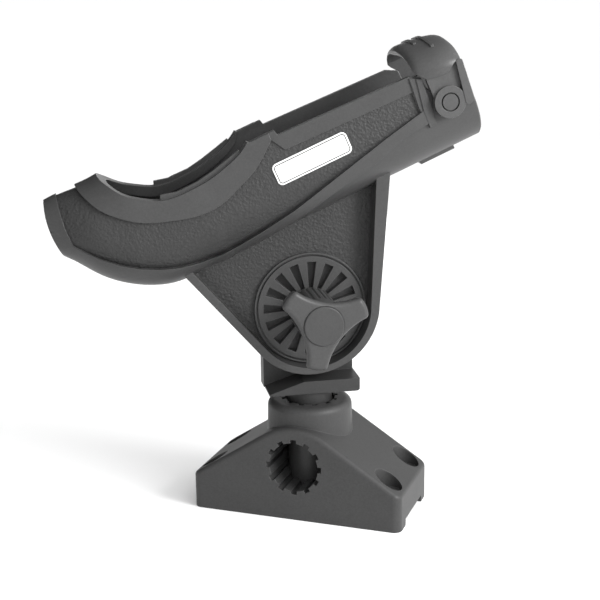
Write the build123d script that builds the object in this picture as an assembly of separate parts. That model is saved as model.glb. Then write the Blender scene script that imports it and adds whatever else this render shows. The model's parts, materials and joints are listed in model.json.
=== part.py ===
from build123d import *
import os
from math import cos, sin, radians, pi

# Adjustable fishing-rod holder on a screw-down base. Millimetres, +Z up.
# The base sits on the row axes: X along its length, Y from its front face to its back, Z up.
# The holder above it is drawn in its own upright plane: u across, v up (from the base's underside),
# w towards the knob, and is then turned about the post by one tooth of the post's spline.

# ---- base -------------------------------------------------------------------------------------
BASE_L, BASE_W = 108.0, 51.0
BASE_END_H = 17.8
ROOF_SLOPE = 0.649
RIDGE_R = 30.0
BASE_WALL, BASE_RIB = 3.6, 2.6
CORNER_R = 4.0
FRONT_ROUND = 2.4
BOSS_R, BOSS_FOOT_R, BOSS_TOP = 20.9, 22.4, 56.0
BOSS_ROUND = 3.5
SOCKET_Z = 27.6
SOCKET_R, NOTCH_R, NOTCH_W = 12.5, 14.2, 3.0
TEETH = 12
PILOT_R, PILOT_FLOOR = 11.18, 7.0
SCREW_X, SCREW_Y = 45.5, 16.0
SCREW_R, COUNTERBORE_R, COUNTERBORE_Z = 3.3, 6.6, 17.0
END_NOTCH_W, END_NOTCH_H = 30.0, 3.5

# ---- post bracket -------------------------------------------------------------------------------
YAW = 360.0 / TEETH
POST_R, POST_BOTTOM = 11.1, 8.0
SPLINE_R, SPLINE_TOOTH_R, SPLINE_TOOTH_W = 12.2, 13.8, 2.4
SPLINE_LOW, SPLINE_HIGH = 43.0, 54.5
SHELF_LOW, SHELF_HIGH = 61.5, 67.9
SHELF_LEFT, SHELF_KNEE, SHELF_RIGHT = -22.2, -5.0, 23.0
SHELF_TIP_H = 0.9
SHELF_FRONT = 12.6
PLATE_HALF = 22.6
PLATE_FRONT, PLATE_BACK = -3.2, -12.6
AXIS_V = 103.0

# ---- clamp --------------------------------------------------------------------------------------
CLAMP_TEETH = 16
TOOTH_IN, TOOTH_OUT, TOOTH_H = 12.0, 21.0, 1.3
BOLT_R, BOLT_HOLE_R = 4.7, 5.1
BOLT_HEAD_R, BOLT_HEAD_H = 10.0, 4.2
BOLT_NECK = 9.8
BOLT_END = 31.0
WASHER_R, WASHER_LOW, WASHER_HIGH = 10.4, 5.1, 6.6

# ---- holder body --------------------------------------------------------------------------------
# along the barrel: s forward from the clamp axis's height, t up out of the slot
TILT = 23.5
TUBE_R = 22.5
TUBE_LOW = 41.7
TUBE_START, TUBE_END = -22.0, 110.0
WALL = 3.0
PANEL_DEPTH = 0.8
RIB_PROUD, BAND_PROUD, END_RIB_PROUD = 1.3, 0.9, 1.5
WEB_BACK, WEB_FRONT, FLANGE_FRONT = -0.2, 3.2, 13.0
WEB_RIGHT, WEB_BOTTOM, WEB_LEFT = -4.5, -75.0, -141.0
WEB_OUTER = (32.6, 31.2, 32.8, 4.4)
WEB_INNER = (28.5, 28.0, 28.9, 2.3)
WEB_LEFT_LEAN = 130.7
DISC_FACE, DISC_R, GROOVE_IN, GROOVE_OUT = 5.0, 27.6, 25.9, 26.8
SLOT_IN, SLOT_OUT, SLOT_FLOOR, SLOT_PHASE = 9.5, 23.2, 1.2, -2.0

REACH = 45.0
TAB_FROM, TAB_TO, TAB_T = 5.4, 18.0, 89.6
RIM_T0, RIM_T1, RIM_BREAK, RIM_T2, RIM_END = 87.0, 84.9, 84.6, 82.2, 89.8
NOSE_T, NOSE_FROM, NOSE_TO, NOSE_CHAMFER = 75.5, 102.5, 110.0, 0.8
STRIP_T0, STRIP_T1 = 79.4, 77.6
RAIL_FROM, RAIL_TO, RAIL_T, RAIL_HALF = 77.3, 96.3, 40.2, 3.4
RIM_DEEP, RIM_HIGH = 4.6, 5.0
LIP_OUT, LIP_IN = 1.0, 3.0
CLAMP_GAP = 0.4

# ---- lock ring ----------------------------------------------------------------------------------
# in the ring's own side view: p forward and q up from its pivot, leaning forward of the barrel's axes
PIVOT_S, PIVOT_T, RING_LEAN = 97.2, 66.9, 4.0
RING_IN, RING_STRAIGHT, RING_TOP_IN = 22.9, 19.2, 25.3
# each cross-section of the crown: p, half width, height above the pivot
CROWN = ((-11.5, 24.1, 27.3), (-10.3, 25.0, 28.5), (-3.2, 27.6, 28.9), (2.0, 28.3, 28.7),
         (7.0, 27.9, 28.1), (10.0, 26.9, 27.2), (11.2, 25.7, 26.2))
CROWN_FOOT = 12.4
CROWN_SIDE = ((-12.5, 31.0), (-12.5, 19.6), (-11.6, 18.8), (-10.1, 16.6), (-7.7, 14.2), (-6.8, 13.2),
              (2.7, 13.0), (7.2, 16.4), (12.5, 17.2), (12.5, 31.0))
ARM_OUT, EYE_OUT = 25.8, 27.6
ARM_SIDE = ((-6.8, 20.0), (-7.1, 13.2), (-6.2, 2.9), (-5.0, 0.0), (6.0, 0.0), (8.4, 10.0), (9.4, 20.0))
EYE_R, EYE_HOLE_R = 7.5, 3.05
PIN_R, PIN_HEAD_R, PIN_HEAD_SEAT_R = 3.0, 3.7, 4.4
PIN_IN, HEAD_H = 19.8, 1.5
BAR_SIDE = ((6.7, -4.7), (11.3, -2.9), (11.2, 17.2), (8.2, 17.3))
BAR_OUT, BAR_ROUND = 27.9, 1.2
GRIP_W, GRIP_H = 1.5, 0.7
# grip ribs on the crown: station in CROWN, and the stretch across the crown that each covers
GRIPS = ((2, -9.5, 13.0), (3, -19.5, 13.0))

# ---- badge --------------------------------------------------------------------------------------
BADGE_S0, BADGE_S1, BADGE_T0, BADGE_T1 = 9.8, 47.6, 64.8, 75.4
BADGE_T, BADGE_SEAT = 1.2, 0.5

# ---- knob ---------------------------------------------------------------------------------------
KNOB_LOW, KNOB_FACE = 7.0, 38.6
KNOB_HUB_R, KNOB_HOLLOW_R = 11.0, 11.5
LOBE_CORNER_R, LOBE_MID_R, LOBE_HALF_ANGLE = 22.1, 22.5, 14.8
LOBE_ANGLES = (20.8, 140.8, 260.8)
LOBE_LOW, LOBE_TAPER, LOBE_CORNER_ROUND, LOBE_EDGE_ROUND = 29.6, 12.0, 2.4, 2.2
FLUTES, FLUTE_R = 24, 0.75
KNOB_BORE_R = 5.2
NUT_AF, NUT_LOW, NUT_HIGH = 15.0, 8.0, 16.0
NUT_BORE_R = 4.78
CAP_R, CAP_SEAT_R, CAP_LOW, CAP_HIGH = 9.5, 9.6, 37.0, 39.4


# =================================================================================================
# helpers
# =================================================================================================

def slab(sketch, w0, w1):
    """A sketch drawn in (u, v) as a plate from w0 to w1."""
    return extrude(Plane.XZ.offset(w0) * sketch, w1 - w0, dir=(0, -1, 0))


def disc(u, v, r, w0, w1):
    return slab(Pos(u, v) * Circle(r), w0, w1)


def across(s, t=0.0, angle=TILT):
    """Plane square to the barrel at station s, its own y axis pointing out of the slot."""
    a = radians(angle)
    u = s * cos(a) - t * sin(a)
    v = AXIS_V + s * sin(a) + t * cos(a)
    return Plane(origin=(u, 0, v), x_dir=(0, 1, 0), z_dir=(cos(a), 0, sin(a)))


def uv(s, t):
    """Barrel coordinates (along, out of the slot) to (u, v)."""
    a = radians(TILT)
    return (s * cos(a) - t * sin(a), AXIS_V + s * sin(a) + t * cos(a))


def face_of(points):
    return make_face(Polyline(*points, close=True))


def spline_face(curve, rest):
    """Face bounded by a spline through curve, closed by straight lines through rest."""
    edge = Spline(*curve)
    return make_face([edge, Polyline(curve[-1], *rest, curve[0])])


def turned(shape):
    """Holder frame to row frame: one spline tooth about the post."""
    return Rot(0, 0, YAW) * shape


def write(node, shape):
    export_step(shape, f"parts/{node}.step")


# =================================================================================================
# base mount
# =================================================================================================

def notched(radius, notch_r, notch_w, depth):
    """A round socket with square notches, as a solid rising from its own XY plane."""
    bore = extrude(Circle(radius), depth)
    for i in range(TEETH):
        bore += Rot(0, 0, i * 360 / TEETH) * Pos((radius + notch_r) / 2 - 1, 0, depth / 2) * Box(
            notch_r - radius + 2, notch_w, depth)
    return bore


def base_mount():
    half = BASE_L / 2
    peak = BASE_END_H + ROOF_SLOPE * half
    outline = face_of([(-half, 0), (half, 0), (half, BASE_END_H), (0, peak), (-half, BASE_END_H)])
    ridge = outline.vertices().sort_by(Axis.Y)[-1]
    outline = fillet(ridge, RIDGE_R)
    body = extrude(Plane.XZ * outline, BASE_W / 2, both=True)
    body = fillet(body.edges().filter_by(Axis.Z), CORNER_R)
    front = body.faces().sort_by(Axis.Y)[0].edges().filter_by(lambda e: e.center().Z > BASE_END_H)
    body = fillet(front, FRONT_ROUND)
    boss = loft([Circle(BOSS_FOOT_R), Pos(0, 0, BOSS_TOP) * Circle(BOSS_R)])
    boss = fillet(boss.edges().sort_by(Axis.Z)[-1], BOSS_ROUND)
    body += boss
    # underside: two pockets, one each side of the socket block, with columns left round the screws
    inner_half = half - BASE_WALL
    pocket = face_of([(BOSS_FOOT_R + 3, 0), (inner_half, 0), (inner_half, BASE_END_H - BASE_WALL),
                      (BOSS_FOOT_R + 3,
                       BASE_END_H - BASE_WALL + ROOF_SLOPE * (inner_half - BOSS_FOOT_R - 3) - 2)])
    hollow = extrude(Plane.XZ * pocket, BASE_W / 2 - BASE_WALL, both=True)
    hollow += mirror(hollow, Plane.YZ)
    for x in (-SCREW_X, SCREW_X):
        for y in (-SCREW_Y, SCREW_Y):
            hollow -= Pos(x, y, BASE_L / 4) * Cylinder(COUNTERBORE_R + 2.6, BASE_L / 2)
        hollow -= Pos(x * 0.72, 0, BASE_L / 4) * Box(BASE_RIB, BASE_W, BASE_L / 2)
    hollow -= Pos(0, 0, BASE_L / 4) * Box(BASE_L, BASE_RIB, BASE_L / 2)
    body -= hollow
    # upright post socket, splined at the mouth with a plain pilot below
    body -= Pos(0, 0, SPLINE_LOW - 1) * notched(SOCKET_R, NOTCH_R, NOTCH_W, BOSS_TOP)
    body -= Pos(0, 0, PILOT_FLOOR) * extrude(Circle(PILOT_R), BOSS_TOP)
    # level post socket in the front face, the same spline
    side = Plane(origin=(0, -BASE_W / 2 - 1, SOCKET_Z), x_dir=(1, 0, 0), z_dir=(0, 1, 0))
    body -= side * notched(SOCKET_R, NOTCH_R, NOTCH_W, BASE_W / 2 + SOCKET_R + 2)
    # screw holes with seats
    for x in (-SCREW_X, SCREW_X):
        for y in (-SCREW_Y, SCREW_Y):
            body -= Pos(x, y, 0) * extrude(Circle(SCREW_R), BASE_L)
            body -= Pos(x, y, COUNTERBORE_Z) * extrude(Circle(COUNTERBORE_R), BASE_L)
        end_notch = Box(4 * BASE_WALL, END_NOTCH_W, END_NOTCH_H)
        body -= Pos(x * half / SCREW_X, 0, END_NOTCH_H / 2) * end_notch
    return body


# =================================================================================================
# post bracket
# =================================================================================================

def polar(r, angle):
    return (r * cos(angle), r * sin(angle))


def wedge_of(r0, r1, a0, a1):
    return face_of([polar(r0, a0), polar(r1, a0), polar(r1, a1), polar(r0, a1)])


def tooth_ring(base_w, tip_w):
    """Radial clamp teeth from base_w to tip_w about the clamp axis."""
    pitch = 360 / CLAMP_TEETH
    teeth = []
    for i in range(CLAMP_TEETH):
        a0, a1 = radians(i * pitch - pitch / 5), radians(i * pitch + pitch / 5)
        wedge = wedge_of(TOOTH_IN, TOOTH_OUT, a0, a1)
        teeth.append(slab(Pos(0, AXIS_V) * wedge, min(base_w, tip_w), max(base_w, tip_w)))
    return teeth


def post_bracket():
    post = Pos(0, 0, POST_BOTTOM) * extrude(Circle(POST_R), SHELF_LOW + 2 - POST_BOTTOM)
    post = chamfer(post.edges().sort_by(Axis.Z)[0], 0.8)
    spline = extrude(Circle(SPLINE_R), SPLINE_HIGH - SPLINE_LOW)
    for i in range(TEETH):
        tooth = Pos(SPLINE_TOOTH_R - 2, 0, (SPLINE_HIGH - SPLINE_LOW) / 2) * Box(
            4, SPLINE_TOOTH_W, SPLINE_HIGH - SPLINE_LOW)
        spline += Rot(0, 0, i * 360 / TEETH) * tooth
    post += Pos(0, 0, SPLINE_LOW) * spline
    shelf = face_of([(SHELF_LEFT, SHELF_LOW), (SHELF_RIGHT - 1.4, SHELF_LOW), (SHELF_RIGHT, SHELF_LOW + 0.8),
                     (SHELF_RIGHT, SHELF_HIGH), (SHELF_KNEE, SHELF_HIGH), (SHELF_LEFT, SHELF_LOW + SHELF_TIP_H)])
    shelf = slab(shelf, PLATE_BACK, SHELF_FRONT)
    shelf = fillet(shelf.edges().filter_by(Axis.Z).group_by(Axis.Y)[0], 0.7)
    upright = Pos(0, (SHELF_LOW + AXIS_V) / 2) * Rectangle(2 * PLATE_HALF, AXIS_V - SHELF_LOW)
    upright = slab(upright, PLATE_BACK, PLATE_FRONT) + disc(0, AXIS_V, PLATE_HALF, PLATE_BACK, PLATE_FRONT)
    bracket = post + shelf + upright
    bracket += tooth_ring(PLATE_FRONT, PLATE_FRONT + TOOTH_H)
    bracket -= disc(0, AXIS_V, BOLT_HOLE_R, PLATE_BACK + BOLT_NECK / 2, 0)
    neck = Pos(0, AXIS_V) * Rectangle(BOLT_NECK, BOLT_NECK)
    bracket -= slab(neck, PLATE_BACK - 1, PLATE_BACK + BOLT_NECK / 2)
    return bracket


# =================================================================================================
# clamp hardware
# =================================================================================================

def clamp_bolt():
    shank = disc(0, AXIS_V, BOLT_R, PLATE_BACK, BOLT_END)
    neck = slab(Pos(0, AXIS_V) * Rectangle(BOLT_NECK - 0.02, BOLT_NECK - 0.02), PLATE_BACK,
                PLATE_BACK + BOLT_NECK / 2 - 0.4)
    head = disc(0, AXIS_V, BOLT_HEAD_R, PLATE_BACK - BOLT_HEAD_H, PLATE_BACK)
    head = fillet(head.edges().sort_by(Axis.Y)[-1], 3.2)
    return chamfer((shank + neck + head).edges().sort_by(Axis.Y)[0], 0.8)


def washer():
    hole = disc(0, AXIS_V, BOLT_HOLE_R, WASHER_LOW, WASHER_HIGH)
    return disc(0, AXIS_V, WASHER_R, WASHER_LOW, WASHER_HIGH) - hole


def clamp_nut():
    hexagon = slab(Pos(0, AXIS_V) * RegularPolygon(NUT_AF / 2, 6, major_radius=False), NUT_LOW, NUT_HIGH)
    return hexagon - disc(0, AXIS_V, NUT_BORE_R, NUT_LOW, NUT_HIGH)


def knob_plan():
    """Three broad ends joined by shallow hollows."""
    edges = []
    for angle in LOBE_ANGLES:
        start, middle, end, hollow, following = (
            polar(r, radians(angle + turn)) for r, turn in
            ((LOBE_CORNER_R, -LOBE_HALF_ANGLE), (LOBE_MID_R, 0), (LOBE_CORNER_R, LOBE_HALF_ANGLE),
             (KNOB_HOLLOW_R, 60), (LOBE_CORNER_R, 120 - LOBE_HALF_ANGLE)))
        edges += [ThreePointArc(start, middle, end), ThreePointArc(end, hollow, following)]
    plan = make_face(edges)
    return fillet(plan.vertices(), LOBE_CORNER_ROUND)


def clamp_knob():
    face_plane = Plane.XZ.offset(KNOB_FACE) * Pos(0, AXIS_V)
    lobes = extrude(face_plane * knob_plan(), LOBE_LOW - KNOB_FACE, taper=LOBE_TAPER)
    lobes = fillet(lobes.faces().sort_by(Axis.Y)[0].edges(), LOBE_EDGE_ROUND)
    hub = disc(0, AXIS_V, KNOB_HUB_R, KNOB_LOW, KNOB_FACE - 2)
    knob = lobes + hub
    for i in range(FLUTES):
        u, v = polar(KNOB_HUB_R + FLUTE_R / 3, i * 2 * pi / FLUTES)
        knob -= disc(u, AXIS_V + v, FLUTE_R, KNOB_LOW, LOBE_LOW - 1)
    knob -= disc(0, AXIS_V, KNOB_BORE_R, KNOB_LOW, BOLT_END + 1.5)
    knob -= slab(Pos(0, AXIS_V) * RegularPolygon(NUT_AF / 2, 6, major_radius=False), KNOB_LOW - 1, NUT_HIGH)
    knob -= disc(0, AXIS_V, CAP_SEAT_R, CAP_LOW, KNOB_FACE)
    return knob


def knob_cap():
    cap = disc(0, AXIS_V, CAP_R, CAP_LOW, CAP_HIGH)
    return fillet(cap.edges().group_by(Axis.Y)[0], 0.6)


# =================================================================================================
# holder body
# =================================================================================================

# bottom point (u, v) of each cross-section, its lean, half width and height, from the tail end on
STATIONS = (
    ((-124.5, 139.4), 13.5, 9.8, 20.4),
    ((-117.0, 134.9), 12.0, 13.8, 27.8),
    ((-109.0, 130.6), 10.0, 17.4, 35.2),
    ((-100.5, 126.0), 8.5, 21.0, 42.6),
    ((-91.5, 122.6), 8.5, 22.0, 50.0),
    ((-82.0, 120.4), 10.0, 22.4, 57.0),
    ((-72.5, 119.8), 13.0, 22.5, 62.0),
    ((-63.0, 121.2), 17.0, 22.5, 64.8),
    ((-54.0, 125.0), 21.0, 22.5, 66.0),
    (uv(-30.0, TUBE_LOW), TILT, 22.5, 66.3),
    (uv(TUBE_START, TUBE_LOW), TILT, 22.5, 66.3),
)
# how far a rib on the form stands proud at each of those sections, as a share of its height
RIB_SHARE = (0.0, 0.0, 0.1, 0.7) + (1.0,) * (len(STATIONS) - 4)

# rounded end of the tail in (u, v)
TAIL_END = ((-112.0, 126.0), (-116.2, 134.5), (-121.5, 146.5), (-124.0, 156.0), (-124.5, 164.0), (-123.5, 174.0))

# upper edge of the reel cradle in (u, v)
CRADLE_EDGE = ((-101.6, 192.0), (-101.9, 182.0), (-101.6, 175.9), (-99.6, 172.2), (-95.2, 168.9), (-88.7, 165.3),
               (-80.7, 163.3), (-72.0, 162.4), (-65.1, 163.8), (-55.2, 168.0), (-48.6, 171.6), (-41.9, 176.5),
               (-35.9, 181.8), (-31.8, 187.5))

# lower edge of the smooth band that follows the cradle
BAND_EDGE = ((-111.4, 174.5), (-110.6, 169.1), (-105.7, 163.6), (-100.1, 159.2), (-91.3, 155.3), (-81.7, 152.8),
             (-68.8, 152.8), (-53.0, 155.3), (-42.4, 160.8), (-35.6, 167.1), (-27.5, 175.9), (-23.4, 183.0),
             (-20.7, 188.1))

# upper and lower edges of the stiffening rib that runs from the tail to the barrel's end
RIB_TOP = ((-118.0, 145.0), (-111.4, 141.3), (-100.4, 136.0), (-91.5, 132.6), (-82.5, 130.6), (-73.4, 129.7),
           (-64.1, 129.8), (-54.8, 131.0), (-45.4, 133.6), (-35.9, 138.0), (-25.4, 144.1), (-10.1, 154.0),
           (9.5, 169.2), (21.4, 178.2), (32.9, 186.7), (48.6, 197.5), (52.0, 200.0))
RIB_LOW = ((-120.0, 124.0), (-90.0, 108.0), (-60.0, 108.0), (-42.0, 124.0), (-23.7, 138.4), (-6.4, 149.3),
           (9.4, 161.5), (29.1, 175.2), (36.9, 182.2), (42.0, 186.7), (52.9, 192.8), (56.0, 194.5))

# thin lip standing on the cradle's rim, upper edge then lower edge back
LIP_TOP = ((-72.0, 164.7), (-64.8, 165.9), (-54.9, 170.2), (-48.2, 174.5), (-41.5, 179.4), (-35.5, 184.0))
LIP_LOW = ((-33.5, 180.0), (-43.0, 171.5), (-56.0, 164.0), (-72.0, 159.5))

# the pair of ribs round the barrel just behind the ring's eyes, in (s, t)
INNER_END_RIB = ((84.4, 84.2), (83.4, 69.8), (84.3, 62.7), (84.8, 60.0), (84.8, 67.1), (87.1, 82.8))
OUTER_END_RIB = ((87.1, 82.8), (84.8, 67.1), (84.8, 59.0), (88.2, 59.8), (89.0, 69.2), (89.5, 81.6))


def section(station, grow):
    """Upright slot outline: round below, straight sides, round above."""
    (u, v), lean, half, height = station
    a = radians(lean)
    plane = Plane(origin=(u, 0, v), x_dir=(0, 1, 0), z_dir=(cos(a), 0, sin(a)))
    return plane * Pos(0, height / 2) * SlotOverall(height + 2 * grow, 2 * (half + grow), rotation=90)


def skin(grow, shares=(1.0,) * len(STATIONS), front=TUBE_END):
    """The closed outer form of tail, cradle and barrel, grown by grow times each section's share."""
    form = loft([section(station, grow * share) for station, share in zip(STATIONS, shares)])
    height = STATIONS[-1][3]
    form += extrude(across(TUBE_START, TUBE_LOW) * Pos(0, height / 2) * SlotOverall(
        height + 2 * grow, 2 * (TUBE_R + grow), rotation=90), front - TUBE_START)
    return form


def outer_form():
    """The ungrown form with its front edge broken."""
    form = skin(0)
    along = Axis((0, 0, AXIS_V), across(0).z_dir)
    return chamfer(form.faces().sort_by(along)[-1].edges(), NOSE_CHAMFER)


def web_outline(right_r, bottom_r, left_r, lean):
    """Drop-shaped web: a round foot about the clamp axis, spreading up to the barrel."""
    right, bottom, left = (
        (x, AXIS_V + y) for x, y in (polar(right_r, radians(WEB_RIGHT)), polar(bottom_r, radians(WEB_BOTTOM)),
                                     polar(left_r, radians(WEB_LEFT))))
    top_left = (left[0] + 62 * cos(radians(WEB_LEFT_LEAN)), left[1] + 62 * sin(radians(WEB_LEFT_LEAN)))
    top_right = (right[0] + 78 * sin(radians(lean)), right[1] + 78 * cos(radians(lean)))
    sides = Polyline(left, top_left, uv(-30, 52), top_right, right)
    return make_face([sides, ThreePointArc(right, bottom, left)])


def clamp_disc():
    """Raised disc of the web, and the groove and radial slots cut into it."""
    added = disc(0, AXIS_V, DISC_R, WEB_FRONT - 0.5, DISC_FACE)
    removed = [disc(0, AXIS_V, GROOVE_OUT, DISC_FACE - 1.4, DISC_FACE)
               - disc(0, AXIS_V, GROOVE_IN, DISC_FACE - 1.4, DISC_FACE)]
    pitch = 360 / CLAMP_TEETH
    for i in range(CLAMP_TEETH):
        middle = SLOT_PHASE + i * pitch
        wedge = wedge_of(SLOT_IN, SLOT_OUT, radians(middle - pitch / 4), radians(middle + pitch / 4))
        removed.append(slab(Pos(0, AXIS_V) * wedge, SLOT_FLOOR, DISC_FACE))
    return added, removed


def cut_above():
    """Everything above the cradle's edge, the tab beside it and the barrel's rims."""
    rims = [uv(TAB_FROM, TAB_T), uv(TAB_TO, TAB_T), uv(TAB_TO + 0.8, RIM_T0), uv(RIM_BREAK, RIM_T1),
            uv(RIM_END, RIM_T2), uv(RIM_END + 0.6, NOSE_T), uv(NOSE_FROM, NOSE_T), uv(NOSE_TO, PIVOT_T),
            uv(TUBE_END + 6, PIVOT_T), uv(TUBE_END + 6, 140), (CRADLE_EDGE[0][0], 250)]
    return slab(spline_face(CRADLE_EDGE, rims), -REACH, REACH)


def cut_behind():
    """Everything behind the rounded end of the tail."""
    return slab(spline_face(TAIL_END, [(-140, 174), (-140, 126)]), -REACH, REACH)


def side_panel():
    """Outline of the textured panel on each flank."""
    strip = [uv(19, STRIP_T0), uv(83.4, STRIP_T1), uv(83.2, 66.6)]
    tail = [(-112.1, 142.2), (-115.3, 150.1), (-117.7, 159.4), (-119.5, 168.0), (-119.5, 178.0)]
    return spline_face(BAND_EDGE, strip + list(reversed(RIB_TOP[2:-2])) + tail)


def cradle_band():
    above = [(-24, 196), (-34, 200), (-60, 192), (-99, 188), (-110.5, 180)]
    return make_face([Spline(*BAND_EDGE), Polyline(BAND_EDGE[-1], *above, BAND_EDGE[0])])


def cradle_rim():
    """The stretch just under the cradle's edge, where the wall is thicker inside."""
    under = [(u, v - RIM_HIGH) for u, v in CRADLE_EDGE[3:]]
    return spline_face(under, [(-30, 200), (-60, 195), (-98, 190)])


def clamp_web():
    """Channel web below the barrel: a thin plate inside a deep rim, with the slotted clamp disc on it."""
    web = slab(web_outline(*WEB_OUTER), WEB_BACK, FLANGE_FRONT)
    web -= slab(web_outline(*WEB_INNER), WEB_FRONT, FLANGE_FRONT)
    added, removed = clamp_disc()
    web += added
    web -= removed
    web += tooth_ring(WEB_BACK, PLATE_FRONT + TOOTH_H + CLAMP_GAP)
    return web - disc(0, AXIS_V, BOLT_HOLE_R, -REACH, REACH)


def both_sides(r, at, w0, w1):
    u, v = at
    return disc(u, v, r, w0, w1) + disc(u, v, r, -w1, -w0)


def holder_body():
    band_skin, bore = skin(BAND_PROUD), skin(-WALL, front=TUBE_END + 5)
    body = outer_form() - (slab(side_panel(), -REACH, REACH) - skin(-PANEL_DEPTH))
    body += slab(cradle_band(), -REACH, REACH) & band_skin
    body += slab(face_of([*RIB_TOP, *reversed(RIB_LOW)]), -REACH, REACH) & skin(RIB_PROUD, RIB_SHARE)
    rail = face_of([uv(RAIL_FROM + 1, RAIL_T), uv(RAIL_TO, RAIL_T), uv(RAIL_TO, TUBE_LOW + 2),
                    uv(RAIL_FROM, TUBE_LOW + 2)])
    body += slab(rail, -RAIL_HALF, RAIL_HALF)
    body += clamp_web()
    body -= bore
    body += slab(cradle_rim(), -REACH, REACH) & (band_skin - skin(-RIM_DEEP))
    body -= cut_above()
    body -= cut_behind()
    for rib, proud in ((INNER_END_RIB, band_skin), (OUTER_END_RIB, skin(END_RIB_PROUD))):
        body += slab(face_of([uv(*at) for at in rib]), -REACH, REACH) & (proud - bore)
    body += slab(face_of([*LIP_TOP, *LIP_LOW]), -REACH, REACH) & (skin(-LIP_OUT) - skin(-LIP_IN))
    body -= slab(badge_outline(), TUBE_R - BADGE_SEAT - PANEL_DEPTH, REACH)
    body -= both_sides(PIN_R, uv(PIVOT_S, PIVOT_T), WALL, REACH)
    return body


# =================================================================================================
# badge, lock ring and its pins
# =================================================================================================

def badge_outline():
    a = radians(TILT)
    s, t = (BADGE_S0 + BADGE_S1) / 2, (BADGE_T0 + BADGE_T1) / 2
    plate = RectangleRounded(BADGE_S1 - BADGE_S0, BADGE_T1 - BADGE_T0, 2.4)
    return Pos(*uv(s, t)) * Rot(0, 0, TILT) * plate


def badge_plate():
    low = TUBE_R - BADGE_SEAT - PANEL_DEPTH
    plate = slab(badge_outline(), low, low + BADGE_T)
    return chamfer(plate.edges().group_by(Axis.Y)[0], 0.25)


def ring_plane(p):
    """Plane square to the ring at station p, its own y axis being the ring's q."""
    a = radians(TILT - RING_LEAN)
    u, v = uv(PIVOT_S, PIVOT_T)
    return Plane(origin=(u + p * cos(a), 0, v + p * sin(a)), x_dir=(0, 1, 0), z_dir=(cos(a), 0, sin(a)))


def ring_side(points, w0, w1):
    """A plate from w0 to w1 drawn in the ring's side view."""
    u, v = uv(PIVOT_S, PIVOT_T)
    return slab(Pos(u, v) * Rot(0, 0, TILT - RING_LEAN) * face_of(points), w0, w1)


def crown_outline(half, top):
    """The crown from the front: a flat top, round shoulders, and sides that roll under at the foot."""
    right = ((half * 0.5, top - 1.8), (half * 0.8, top - 4.6), (half * 0.95, top - 8.1), (half, top - 11.3),
             (half * 0.955, CROWN_FOOT))
    left = [(-w, q) for w, q in reversed(right)]
    return make_face([Spline(*left, (0, top), *right), Polyline(right[-1], left[0])])


def ring_tunnel():
    """The room inside the ring: straight sides, then a low arch over the barrel's slot."""
    w, corner = RING_IN, RING_IN * 0.72
    arch = Spline((w, RING_STRAIGHT), (corner, (RING_STRAIGHT + 3 * RING_TOP_IN) / 4), (0, RING_TOP_IN),
                  (-corner, (RING_STRAIGHT + 3 * RING_TOP_IN) / 4), (-w, RING_STRAIGHT))
    sides = Polyline((-w, RING_STRAIGHT), (-w, -20), (w, -20), (w, RING_STRAIGHT))
    return extrude(ring_plane(0) * make_face([arch, sides]), 20, both=True)


def lock_ring():
    crown = loft([ring_plane(p) * crown_outline(half, top) for p, half, top in CROWN])
    ring = crown & ring_side(CROWN_SIDE, -REACH, REACH)
    for station, w0, w1 in GRIPS:
        p, half, top = CROWN[station]
        outline = crown_outline(half + GRIP_H, top + GRIP_H) & Pos((w0 + w1) / 2, 30) * Rectangle(w1 - w0, 20)
        ring += extrude(ring_plane(p) * outline, GRIP_W / 2, both=True)
    for side in (1, -1):
        ring += ring_side(ARM_SIDE, *sorted((side * (RING_IN - 1), side * ARM_OUT)))
        bar = ring_side(BAR_SIDE, *sorted((side * (RING_IN - 1), side * BAR_OUT)))
        ring += fillet(bar.edges().filter_by(Axis.Y), BAR_ROUND)
        ring += disc(*uv(PIVOT_S, PIVOT_T), EYE_R, *sorted((side * (RING_IN - 1), side * EYE_OUT)))
    ring -= ring_tunnel()
    ring -= both_sides(EYE_HOLE_R, uv(PIVOT_S, PIVOT_T), RING_IN - 1, REACH)
    ring -= both_sides(PIN_HEAD_SEAT_R, uv(PIVOT_S, PIVOT_T), EYE_OUT - HEAD_H, REACH)
    return ring


def ring_pin(side):
    """Headed pivot pin, pressed into the barrel's wall through the ring's eye."""
    u, v = uv(PIVOT_S, PIVOT_T)
    shank = disc(u, v, PIN_R, *sorted((side * PIN_IN, side * (EYE_OUT - HEAD_H + 0.2))))
    head = disc(u, v, PIN_HEAD_R, *sorted((side * (EYE_OUT - HEAD_H + 0.1), side * EYE_OUT)))
    return shank + head


os.makedirs("parts", exist_ok=True)
write("base_mount", base_mount())
write("post_bracket", turned(post_bracket()))
write("clamp_bolt", turned(clamp_bolt()))
write("clamp_washer", turned(washer()))
write("clamp_nut", turned(clamp_nut()))
write("clamp_knob", turned(clamp_knob()))
write("knob_cap", turned(knob_cap()))
write("holder_body", turned(holder_body()))
write("badge_plate", turned(badge_plate()))
write("lock_ring", turned(lock_ring()))
write("ring_pin_near", turned(ring_pin(1)))
write("ring_pin_far", turned(ring_pin(-1)))
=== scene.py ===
import json
import math

import bmesh
import bpy
from mathutils import Matrix, Vector


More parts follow.
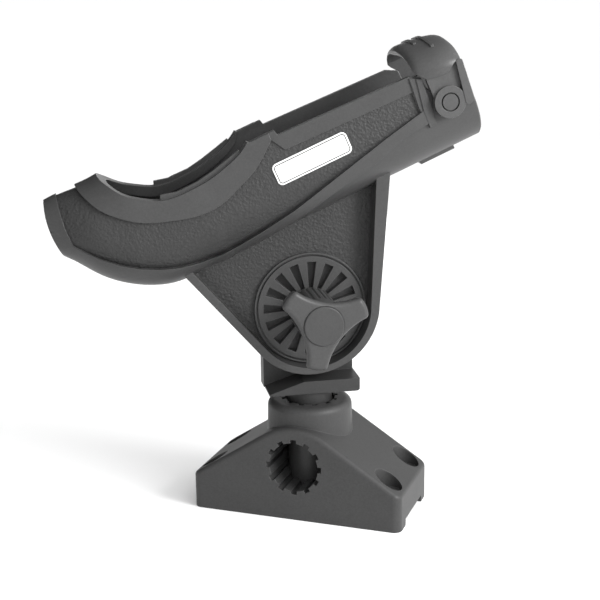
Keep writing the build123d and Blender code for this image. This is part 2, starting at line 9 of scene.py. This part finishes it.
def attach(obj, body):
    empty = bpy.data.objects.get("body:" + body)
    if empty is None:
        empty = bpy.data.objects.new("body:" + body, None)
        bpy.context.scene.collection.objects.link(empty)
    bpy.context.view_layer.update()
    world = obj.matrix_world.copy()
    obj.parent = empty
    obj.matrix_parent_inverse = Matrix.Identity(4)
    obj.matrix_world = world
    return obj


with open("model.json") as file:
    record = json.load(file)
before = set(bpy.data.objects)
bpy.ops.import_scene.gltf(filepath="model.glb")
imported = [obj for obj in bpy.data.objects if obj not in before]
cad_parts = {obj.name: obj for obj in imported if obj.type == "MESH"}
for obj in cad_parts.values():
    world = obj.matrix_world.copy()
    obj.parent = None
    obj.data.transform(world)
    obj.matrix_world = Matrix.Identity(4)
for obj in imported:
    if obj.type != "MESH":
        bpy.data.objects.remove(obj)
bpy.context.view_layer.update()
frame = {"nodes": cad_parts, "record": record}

# ---- studio -------------------------------------------------------------------------------------
# A pale floor with no edge in view, under a white sky that is brighter to the right, with two soft
# boxes, and the camera that looks at the holder from its front right, a little from above.
CAMERA_AT = Vector((0.2012, -0.5741, 0.2646))
CAMERA_TURN, CAMERA_DIP, CAMERA_ROLL = 0.342, 0.256, -0.0137
CAMERA_LENS, CAMERA_SENSOR, CAMERA_SHIFT = 76.81, 36.0, (-0.0041, 0.0016)
SKY_TOWARDS = Vector((0.87, -0.38, 0.3)).normalized()
SKY_DARK, SKY_BRIGHT, SKY_SEEN = 0.05, 1.9, 1.0
SKY_DARK_SIDE, SKY_BRIGHT_SIDE = -0.7, 1.0
BOX_AIM = Vector((0.03, 0.02, 0.16))
# each soft box: where it stands, how wide it is, its watts
SOFT_BOXES = {
    "front_box": (Vector((0.60, -0.16, 0.38)), 0.3, 5.0),
    "back_box": (Vector((-0.2, 0.75, 0.14)), 0.5, 0.8),
}
SKY_WHITE = (1.0, 1.0, 1.0, 1.0)
FLOOR_HALF, FLOOR_WHITE = 20.0, (0.96, 0.96, 0.96, 1.0)


class Shade:
    """One output in a node tree. Sums and products of it add Math nodes, node() adds any other."""

    def __init__(self, tree, socket=None):
        self.tree, self.socket = tree, socket

    def node(self, kind, settings=None, sockets=None, output=0):
        made = self.tree.nodes.new("ShaderNode" + kind)
        for name, value in (settings or {}).items():
            setattr(made, name, value)
        for name, value in (sockets or {}).items():
            if isinstance(value, Shade):
                self.tree.links.new(value.socket, made.inputs[name])
            else:
                made.inputs[name].default_value = value
        return Shade(self.tree, made.outputs[output])

    def math(self, operation, *values):
        return self.node("Math", {"operation": operation}, dict(enumerate(values)))

    def __add__(self, other):
        return self.math("ADD", self, other)

    def __sub__(self, other):
        return self.math("SUBTRACT", self, other)

    def __rsub__(self, other):
        return self.math("SUBTRACT", other, self)

    def __mul__(self, other):
        return self.math("MULTIPLY", self, other)

    __radd__ = __add__
    __rmul__ = __mul__

    def dot(self, other):
        """The dot product of this vector and another, such as a normal."""
        return self.node("VectorMath", {"operation": "DOT_PRODUCT"}, {0: self, 1: other}, "Value")

    def between(self, low, high, start=0.0, end=1.0):
        """This value carried smoothly from low..high to start..end."""
        settings = {"interpolation_type": "SMOOTHSTEP"}
        sockets = {"Value": self, "From Min": low, "From Max": high, "To Min": start, "To Max": end}
        return self.node("MapRange", settings, sockets)


scene = bpy.context.scene
camera_data = bpy.data.cameras.new("camera")
camera_data.lens, camera_data.sensor_width = CAMERA_LENS, CAMERA_SENSOR
camera_data.shift_x, camera_data.shift_y = CAMERA_SHIFT
camera = bpy.data.objects.new("camera", camera_data)
scene.collection.objects.link(camera)
camera.matrix_world = (
    Matrix.Translation(CAMERA_AT)
    @ Matrix.Rotation(CAMERA_TURN, 4, "Z")
    @ Matrix.Rotation(math.pi / 2 - CAMERA_DIP, 4, "X")
    @ Matrix.Rotation(CAMERA_ROLL, 4, "Z")
)
scene.camera = camera
scene.view_settings.view_transform = "Standard"

sky = bpy.data.worlds.new("sky")
sky.use_nodes = True
light = Shade(sky.node_tree)
facing = light.node("TexCoord", output="Generated").dot(SKY_TOWARDS)
seen = light.node("LightPath", output="Is Camera Ray")
lit = facing.between(SKY_DARK_SIDE, SKY_BRIGHT_SIDE, SKY_DARK, SKY_BRIGHT)
strength = lit * (1 - seen) + seen * SKY_SEEN
backdrop = sky.node_tree.nodes["Background"]
sky.node_tree.links.new(strength.socket, backdrop.inputs["Strength"])
backdrop.inputs["Color"].default_value = SKY_WHITE
scene.world = sky

for name, (place, size, watts) in SOFT_BOXES.items():
    lamp = bpy.data.lights.new(name, "AREA")
    lamp.shape, lamp.size, lamp.energy = "DISK", size, watts
    soft_box = bpy.data.objects.new(name, lamp)
    scene.collection.objects.link(soft_box)
    soft_box.location = place
    soft_box.rotation_euler = (place - BOX_AIM).to_track_quat("Z", "Y").to_euler()


def object_from(shape, name):
    """Ends a bmesh as a linked object at the origin."""
    mesh = bpy.data.meshes.new(name)
    shape.to_mesh(mesh)
    shape.free()
    made = bpy.data.objects.new(name, mesh)
    scene.collection.objects.link(made)
    return made


def material(name):
    """A new material, the Shade to build on and its Principled BSDF."""
    made = bpy.data.materials.new(name)
    made.use_nodes = True
    return made, Shade(made.node_tree), made.node_tree.nodes["Principled BSDF"]


shape = bmesh.new()
bmesh.ops.create_grid(shape, x_segments=1, y_segments=1, size=FLOOR_HALF)
floor = object_from(shape, "floor")
floor_paint, _, finish = material("floor_paint")
finish.inputs["Base Color"].default_value = FLOOR_WHITE
finish.inputs["Roughness"].default_value = 1.0
finish.inputs["Specular IOR Level"].default_value = 0.0
floor.data.materials.append(floor_paint)


# ---- base mount ---------------------------------------------------------------------------------
# The wedge-shaped deck mount, one moulding of glass-filled nylon with splined sockets in its boss and
# front face. Fine matt grain, faint flow marks, edges rubbed a little lighter.
FLOW_SCALE = 45.0
HAIR_TURN, HAIR_SCALE, HAIR_FROM, HAIR_TO = (0.3, 0.5, 0.9), (40, 700, 700), 0.68, 0.8
EDGE_FROM, EDGE_TO, EDGE_LEAST, EDGE_BROKEN = 0.004, 0.16, 0.35, 1.1
DARKEST, LIGHTEST = 0.55, 1.75
# how far each of them moves the tone, the height and the roughness
TONE_START, TONE_FLOW, TONE_GRAIN, TONE_PORES, TONE_HAIRS = 0.2, 0.3, 0.35, 0.15, 0.12
HEIGHT_GRAIN, HEIGHT_PORES, HEIGHT_HAIRS, BUMP_STRENGTH = 0.7, 0.5, 0.2, 0.8
ROUGH_FLOW, ROUGH_LESS, ROUGH_GRAIN, ROUGH_EDGE = 0.14, 0.07, 0.06, 0.1


def grey(value):
    return (value, value, value, 1.0)


def two_tones(start, factor, dark, light):
    """A colour between two, as far as the factor says."""
    settings = {"data_type": "RGBA", "clamp_factor": True}
    return start.node("Mix", settings, {"Factor": factor, "A": dark, "B": light}, "Result")


def drive(start, finish, colour, bump, roughness):
    """Links what changes over the surface to its shader."""
    for name, value in (("Base Color", colour), ("Normal", bump), ("Roughness", roughness)):
        start.tree.links.new(value.socket, finish.inputs[name])


def moulded(name, tone, roughness=0.46, cell=0.0007, depth=0.00003, wear=0.6, rubbed=0.0005, gloss=0.28):
    """Moulded nylon: grain cells of the given size and depth in metres, and worn edges."""
    made, start, finish = material(name)
    place = start.node("TexCoord", output="Object")
    flow = start.node("TexNoise", None, {
        "Vector": place, "Scale": FLOW_SCALE, "Detail": 4.0, "Roughness": 0.6})
    grain = start.node("TexNoise", None, {"Vector": place, "Scale": 1 / cell, "Detail": 3.0})
    pores = start.node("TexVoronoi", None, {"Vector": place, "Scale": 0.6 / cell})
    stretched = start.node("Mapping", None, {
        "Vector": place, "Rotation": HAIR_TURN, "Scale": HAIR_SCALE})
    hairs = start.node("TexNoise", None, {"Vector": stretched, "Scale": 1.0, "Detail": 2.0})
    hairs = hairs.between(HAIR_FROM, HAIR_TO)
    rounded = start.node("Bevel", {"samples": 4}, {"Radius": rubbed})
    agreement = rounded.dot(start.node("NewGeometry", output="True Normal"))
    edge = (1 - agreement).between(EDGE_FROM, EDGE_TO)
    edge = edge * (EDGE_LEAST + flow * EDGE_BROKEN)
    factor = TONE_START + flow * TONE_FLOW + grain * TONE_GRAIN - pores * TONE_PORES
    factor = factor + edge * wear + hairs * TONE_HAIRS
    colour = two_tones(start, factor, grey(tone * DARKEST), grey(tone * LIGHTEST))
    height = grain * HEIGHT_GRAIN + pores * HEIGHT_PORES - hairs * HEIGHT_HAIRS
    bump = start.node("Bump", None, {
        "Height": height, "Strength": BUMP_STRENGTH, "Distance": depth, "Normal": rounded})
    rough = roughness + flow * ROUGH_FLOW - ROUGH_LESS + grain * ROUGH_GRAIN - edge * ROUGH_EDGE
    finish.inputs["Specular IOR Level"].default_value = gloss
    drive(start, finish, colour, bump, rough)
    return made


def finish_node(name, *finishes):
    """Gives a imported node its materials, the first one on all of its faces."""
    node = frame["nodes"][name]
    node.data.materials.clear()
    for made in finishes:
        node.data.materials.append(made)
    return node


finish_node("base_mount", moulded("deck_nylon", 0.034))


# ---- post bracket -------------------------------------------------------------------------------
# The post that drops into the boss, with the shelf and the upright that carries the clamp. The same
# nylon, a touch smoother where it slides in the socket, and darker all over as painted shade for the
# depth of the socket and the shadow of the holder.
finish_node("post_bracket", moulded("post_nylon_painted_shade", 0.024, roughness=0.42))


# ---- clamp bolt, washer and nut -----------------------------------------------------------------
# A square-necked steel bolt through the clamp, with a plain washer under the knob and a hexagon nut
# moulded into it. Drawn stainless steel, finely brushed, dulled in patches.
STEEL_DARK, STEEL_LIGHT = (0.3, 0.3, 0.29, 1.0), (0.72, 0.72, 0.7, 1.0)
BRUSHED_FINE, BRUSHED_LONG, BRUSHED_DEPTH = 4000, 300, 0.00001
DULL_SCALE, STEEL_SMOOTH, STEEL_DULLED = 160.0, 0.18, 0.3


def steel(name, brushed):
    """Stainless steel, brushed with as many lines a metre along X, Y and Z as brushed says."""
    made, start, finish = material(name)
    place = start.node("TexCoord", output="Object")
    dull = start.node("TexNoise", None, {"Vector": place, "Scale": DULL_SCALE, "Detail": 4.0})
    lines = start.node("Mapping", None, {"Vector": place, "Scale": brushed})
    streak = start.node("TexNoise", None, {"Vector": lines, "Scale": 1.0, "Detail": 2.0})
    colour = two_tones(start, streak * 0.6 + dull * 0.4, STEEL_DARK, STEEL_LIGHT)
    bump = start.node("Bump", None, {"Height": streak, "Strength": 0.5, "Distance": BRUSHED_DEPTH})
    finish.inputs["Metallic"].default_value = 1.0
    drive(start, finish, colour, bump, STEEL_SMOOTH + dull * STEEL_DULLED)
    return made


turned_steel = steel("turned_steel", (BRUSHED_LONG, BRUSHED_LONG, BRUSHED_FINE))
finish_node("clamp_bolt", turned_steel)
finish_node("clamp_nut", turned_steel)
finish_node("clamp_washer", steel("stamped_steel", (BRUSHED_FINE, BRUSHED_LONG, BRUSHED_LONG)))


# ---- clamp knob and cap -------------------------------------------------------------------------
# The three-lobed knob that tightens the clamp, moulded in a smoother nylon that catches the light on
# its rounded edges, and the round cap pressed over its hub.
finish_node("clamp_knob", moulded("knob_nylon", 0.041, roughness=0.36, depth=0.000012, wear=0.75))
finish_node("knob_cap", moulded("cap_nylon", 0.036, roughness=0.33, depth=0.00001, wear=0.8))


# ---- holder body --------------------------------------------------------------------------------
# The slotted barrel, reel cradle, tail and clamp web, one long nylon moulding. Its bands, ribs and
# rims are smooth; the flank panels and the web's plate have a leather-like grain from the mould.
tilt = next(joint for joint in frame["record"]["behaviour"]["joints"] if joint["name"] == "holder_tilt")
barrel = next(mount for mount in frame["record"]["mounts"] if mount["name"] == "barrel")
across = Vector(tilt["axis"]).normalized()
along = Vector(barrel["axis"]).normalized()
upward = across.cross(along)
tilt_at = Vector(tilt["pos_m"])
SHARPEST = math.radians(24)
# a point on each flank panel and one on the web's plate: along, out of the slot, towards the knob
PANEL_AT, PANEL_OUT = (0.060, 0.070), 0.0217
WEB_AT, WEB_OUT = (0.022, 0.034), 0.0032
SAME_PLACE, FACING, OFF_PLANE = 1e-6, 0.9, 40


def barrel_point(s, t, w):
    """A point given along the barrel, out of its slot, and out towards the knob."""
    return tilt_at + along * s + upward * t + across * w


def smooth_patch(node, seed, outward):
    """The numbers of the faces that run on from the one at a seed point with no sharp edge."""
    shape = bmesh.new()
    shape.from_mesh(node.data)
    number = shape.faces.layers.int.new("number")
    for face in shape.faces:
        face[number] = face.index
    bmesh.ops.remove_doubles(shape, verts=shape.verts, dist=SAME_PLACE)
    shape.normal_update()

    def distance(face):
        gap = face.calc_center_median() - seed
        return OFF_PLANE * abs(gap.dot(outward)) + gap.length

    first = min((face for face in shape.faces if face.normal.dot(outward) > FACING), key=distance)
    found, waiting = {first}, [first]
    while waiting:
        for edge in waiting.pop().edges:
            if len(edge.link_faces) == 2 and edge.calc_face_angle() < SHARPEST:
                for face in edge.link_faces:
                    if face not in found:
                        found.add(face)
                        waiting.append(face)
    numbers = {face[number] for face in found}
    shape.free()
    return numbers


smooth_nylon = moulded("barrel_nylon", 0.037, roughness=0.38)
grained_nylon = moulded("grained_nylon", 0.024, roughness=0.46, cell=0.0009, depth=0.0006, wear=0.3)
body = finish_node("holder_body", smooth_nylon, grained_nylon)
grained = smooth_patch(body, barrel_point(*WEB_AT, WEB_OUT), across)
for side in (1, -1):
    grained |= smooth_patch(body, barrel_point(*PANEL_AT, side * PANEL_OUT), side * across)
for face in body.data.polygons:
    if face.index in grained:
        face.material_index = 1


# ---- badge --------------------------------------------------------------------------------------
# A white plastic plate glued into a seat on the near flank, with a thin dark line printed round its
# edge. It carries no lettering.
LINE_INSET, LINE_WIDTH, LINE_HEIGHT = 0.0007, 0.0005, 0.00006
CORNER_R, CORNER_STEPS = 0.0018, 32
PRINT_DARK, PRINT_LIGHT = (0.78, 0.78, 0.77, 1.0), (0.93, 0.93, 0.93, 1.0)
CLOUD_SCALE, SPECK_SCALE, SPECK_DEPTH = 120.0, 1500.0, 0.00002
PRINT_SMOOTH, PRINT_CLOUDED = 0.24, 0.2


def printed_white():
    """Glossy white plastic, a little clouded and speckled."""
    made, start, finish = material("printed_white")
    place = start.node("TexCoord", output="Object")
    cloud = start.node("TexNoise", None, {"Vector": place, "Scale": CLOUD_SCALE, "Detail": 5.0})
    speck = start.node("TexNoise", None, {"Vector": place, "Scale": SPECK_SCALE, "Detail": 2.0})
    colour = two_tones(start, cloud * 0.6 + speck * 0.3, PRINT_DARK, PRINT_LIGHT)
    bump = start.node("Bump", None, {"Height": speck, "Strength": 0.3, "Distance": SPECK_DEPTH})
    drive(start, finish, colour, bump, PRINT_SMOOTH + cloud * PRINT_CLOUDED)
    return made


plate = finish_node("badge_plate", printed_white())
spans = []
for axis in (along, upward, across):
    reach = [(vertex.co - tilt_at).dot(axis) for vertex in plate.data.vertices]
    spans.append((min(reach), max(reach)))
half_long, half_high = ((high - low) / 2 - LINE_INSET for low, high in spans[:2])
middle_along, middle_up = ((low + high) / 2 for low, high in spans[:2])
shape = bmesh.new()
bmesh.ops.create_circle(shape, cap_ends=True, segments=CORNER_STEPS, radius=CORNER_R)
for vertex in shape.verts:
    vertex.co.x += math.copysign(half_long - CORNER_R, vertex.co.x)
    vertex.co.y += math.copysign(half_high - CORNER_R, vertex.co.y)
bmesh.ops.inset_individual(shape, faces=shape.faces[:], thickness=LINE_WIDTH)
inner = max(shape.faces, key=lambda face: len(face.verts))
bmesh.ops.delete(shape, geom=[inner], context="FACES")
raised = bmesh.ops.extrude_face_region(shape, geom=shape.faces[:])["geom"]
raised = [part for part in raised if isinstance(part, bmesh.types.BMVert)]
bmesh.ops.translate(shape, verts=raised, vec=(0, 0, LINE_HEIGHT))
place = Matrix((along, upward, along.cross(upward))).transposed().to_4x4()
place.translation = barrel_point(middle_along, middle_up, spans[2][1] - LINE_HEIGHT / 2)
bmesh.ops.transform(shape, matrix=place, verts=shape.verts)
bmesh.ops.recalc_face_normals(shape, faces=shape.faces)
border = object_from(shape, "badge_border")
border.data.materials.append(moulded("border_ink", 0.03, roughness=0.4, depth=0.000005, wear=0.2))
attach(border, "holder")


# ---- lock ring and its pins ---------------------------------------------------------------------
# The ring that flips over the barrel's slot to hold the rod down, and the two headed pins it turns
# on. Smooth nylon for the ring, plain acetal for the pins, polished by handling.
finish_node("lock_ring", moulded("ring_nylon", 0.048, roughness=0.34, depth=0.000018, wear=0.7))
pin_finish = moulded("pin_acetal", 0.045, roughness=0.34, depth=0.00001, wear=0.5, rubbed=0.0003)
for pin in ("ring_pin_near", "ring_pin_far"):
    finish_node(pin, pin_finish)
